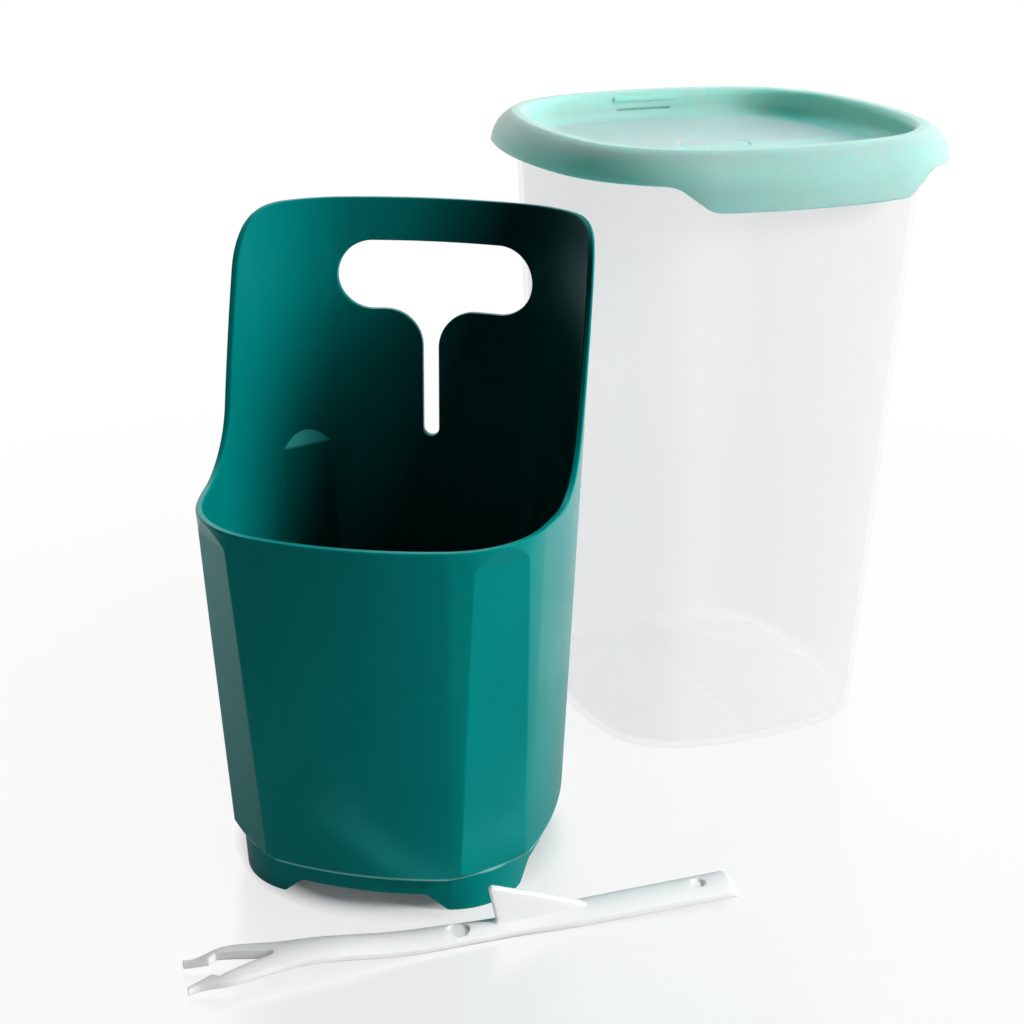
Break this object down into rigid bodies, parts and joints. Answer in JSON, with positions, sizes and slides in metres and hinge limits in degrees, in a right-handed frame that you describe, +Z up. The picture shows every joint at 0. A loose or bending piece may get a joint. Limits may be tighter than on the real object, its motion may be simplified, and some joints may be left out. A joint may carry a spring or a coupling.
{
  "type": "pickle keeper",
  "caption": "Clear bowed-square container with a soft seal lid, a tall-backed lift basket with a hand hole and strainer floor, and a barbed pickle fork.",
  "frame": {"origin": "centre of the container's base, on the surface it stands on", "axes": "+Z up; the lift basket's sides run along X and Y with its low front toward -Y; the container and lid are turned 31.6 degrees about Z"},
  "size_m": [0.2106, 0.2966, 0.2084],
  "materials": {
    "container": "frosted translucent",
    "lid": "satin mint, slightly flexible",
    "lift_basket": "fine satin texture, dark teal",
    "fork": "satin white"
  },
  "bodies": {
    "container": {"container": "container"},
    "lid": {"lid": "lid"},
    "lift_basket": {"lift_basket": "lift_basket"},
    "fork": {"fork": "fork"}
  },
  "joints": [
    {"name": "lid_lift", "type": "slide", "parent": "container", "child": "lid", "axis": [0, 0, 1], "range_m": [0, 0.06]},
    {"name": "basket_lift", "type": "slide", "parent": "container", "child": "lift_basket", "axis": [0, 0, 1], "range_m": [0, 0.22]},
    {"name": "fork_lift", "type": "slide", "parent": "container", "child": "fork", "axis": [0, 0, 1], "range_m": [0, 0.1]}
  ]
}
